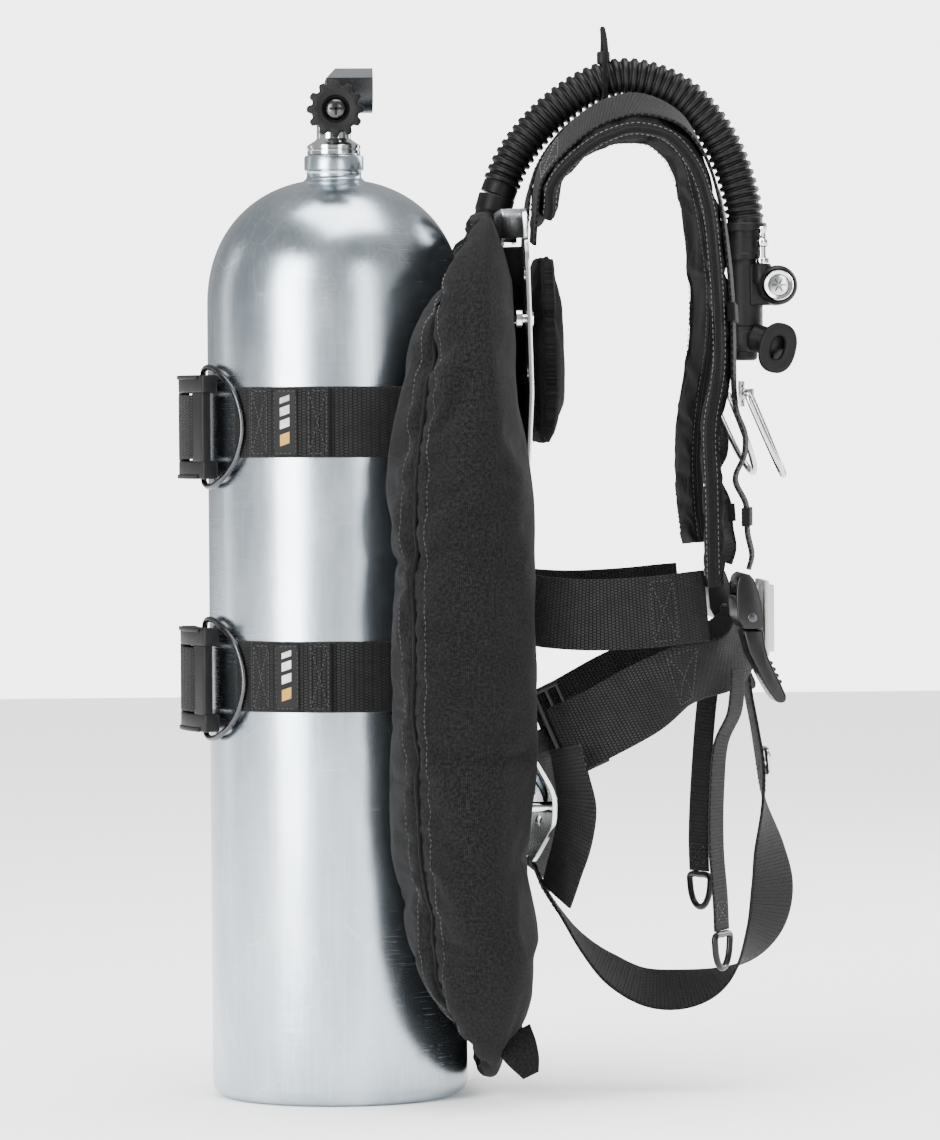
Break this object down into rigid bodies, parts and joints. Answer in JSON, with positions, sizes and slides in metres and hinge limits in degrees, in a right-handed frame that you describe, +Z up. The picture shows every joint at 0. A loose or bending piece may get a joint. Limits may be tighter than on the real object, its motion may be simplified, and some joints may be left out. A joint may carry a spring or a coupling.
{
  "type": "scuba tank set",
  "caption": "Aluminium diving cylinder with valve, held by cam bands to a backplate that carries a buoyancy wing, inflator hose and padded webbing harness.",
  "frame": {"origin": "centre of the tank's flat base, on the floor", "axes": "+Z up along the tank, +X from the tank to the diver's front, -Y to the diver's right"},
  "size_m": [0.4525, 0.35, 0.7744],
  "materials": {
    "aluminium": "satin",
    "chrome": "polished",
    "steel": "polished",
    "brass": "satin",
    "rubber": "matte",
    "plastic": "satin",
    "webbing": "matte",
    "nylon": "matte",
    "label": "matte"
  },
  "bodies": {
    "rig": {"back_pad": "nylon", "backplate": "steel", "belt_slider_left": "plastic", "belt_slider_right": "plastic", "bonnet_nut": "chrome", "burst_disc_plug": "chrome", "chest_slider_left": "steel", "chest_slider_right": "steel", "corrugated_hose": "rubber", "crotch_strap": "webbing", "dip_tube": "brass", "hose_bungee": "rubber", "hose_clamp": "steel", "hose_nipple": "chrome", "inflator_body": "plastic", "lower_band_patch": "label", "lower_cam_band": "webbing", "lower_plate_screw_left": "steel", "lower_plate_screw_right": "steel", "mouthpiece": "rubber", "neck_seal": "rubber", "outlet_seal": "rubber", "pull_strap_left": "webbing", "pull_strap_right": "webbing", "release_buckle_left": "plastic", "release_buckle_right": "plastic", "release_latch_left": "plastic", "release_latch_right": "plastic", "shoulder_pad_left": "nylon", "shoulder_pad_right": "nylon", "shoulder_webbing_left": "webbing", "shoulder_webbing_right": "webbing", "side_strap_left": "webbing", "side_strap_right": "webbing", "tank_shell": "aluminium", "upper_band_patch": "label", "upper_cam_band": "webbing", "upper_plate_screw_left": "steel", "upper_plate_screw_right": "steel", "valve_body": "chrome", "waist_belt_left": "webbing", "waist_belt_right": "webbing", "waist_buckle": "steel", "wing_cell": "nylon", "wing_elbow": "plastic"},
    "handwheel": {"handwheel_knob": "rubber", "valve_spindle": "steel", "handwheel_nut": "chrome"},
    "poppet": {"valve_poppet": "brass"},
    "inflate_push": {"inflate_button": "chrome"},
    "deflate_push": {"deflate_button": "plastic"},
    "upper_lever": {"upper_cam_lever": "plastic"},
    "upper_bail": {"upper_cam_bail": "steel"},
    "lower_lever": {"lower_cam_lever": "plastic"},
    "lower_bail": {"lower_cam_bail": "steel"},
    "chest_ring_r": {"chest_ring_right": "steel"},
    "chest_ring_l": {"chest_ring_left": "steel"},
    "front_ring": {"crotch_ring": "steel"},
    "pull_ring_r": {"pull_ring_right": "plastic"},
    "pull_ring_l": {"pull_ring_left": "plastic"}
  },
  "joints": [
    {"name": "handwheel_turn", "type": "hinge", "parent": "rig", "child": "handwheel", "pos_m": [0, -0.045, 0.7075], "axis": [0, -1, 0], "range_deg": [0, 900]},
    {"name": "poppet_slide", "type": "slide", "parent": "rig", "child": "poppet", "axis": [0, -1, 0], "range_m": [0, 0.00375]},
    {"name": "inflate_press", "type": "slide", "parent": "rig", "child": "inflate_push", "axis": [0, 1, 0], "range_m": [0, 0.003], "stiffness_N_per_m": 400},
    {"name": "deflate_press", "type": "slide", "parent": "rig", "child": "deflate_push", "axis": [0, 0, 1], "range_m": [0, 0.003], "stiffness_N_per_m": 400},
    {"name": "upper_lever_open", "type": "hinge", "parent": "rig", "child": "upper_lever", "pos_m": [-0.10347, 0.00271, 0.482], "axis": [0, 0, -1], "range_deg": [0, 100]},
    {"name": "upper_bail_swing", "type": "hinge", "parent": "rig", "child": "upper_bail", "pos_m": [-0.06759, -0.06999, 0.482], "axis": [0, 0, 1], "range_deg": [0, 35]},
    {"name": "lower_lever_open", "type": "hinge", "parent": "rig", "child": "lower_lever", "pos_m": [-0.10347, 0.00271, 0.302], "axis": [0, 0, -1], "range_deg": [0, 100]},
    {"name": "lower_bail_swing", "type": "hinge", "parent": "rig", "child": "lower_bail", "pos_m": [-0.06759, -0.06999, 0.302], "axis": [0, 0, 1], "range_deg": [0, 35]},
    {"name": "chest_ring_swing_right", "type": "hinge", "parent": "rig", "child": "chest_ring_r", "pos_m": [0.2882, -0.103, 0.503], "axis": [-0.1395, -0.9902, 0], "range_deg": [0, 90]},
    {"name": "chest_ring_swing_left", "type": "hinge", "parent": "rig", "child": "chest_ring_l", "pos_m": [0.2882, 0.103, 0.503], "axis": [0.1395, -0.9902, 0], "range_deg": [0, 90]},
    {"name": "front_ring_swing", "type": "hinge", "parent": "rig", "child": "front_ring", "pos_m": [0.3095, 0, 0.246], "axis": [0, -1, 0], "range_deg": [0, 80]},
    {"name": "pull_ring_swing_right", "type": "hinge", "parent": "rig", "child": "pull_ring_r", "pos_m": [0.27, -0.08, 0.1193], "axis": [-0.4794, -0.8776, 0], "range_deg": [-45, 45]},
    {"name": "pull_ring_swing_left", "type": "hinge", "parent": "rig", "child": "pull_ring_l", "pos_m": [0.269, 0.08, 0.1493], "axis": [0.4794, -0.8776, 0], "range_deg": [-45, 45]}
  ],
  "couplings": [
    {"joint": "poppet_slide", "follows": "handwheel_turn", "m_per_rad": 0.00023873},
    {"joint": "upper_bail_swing", "follows": "upper_lever_open", "ratio": 0.35},
    {"joint": "lower_bail_swing", "follows": "lower_lever_open", "ratio": 0.35}
  ]
}
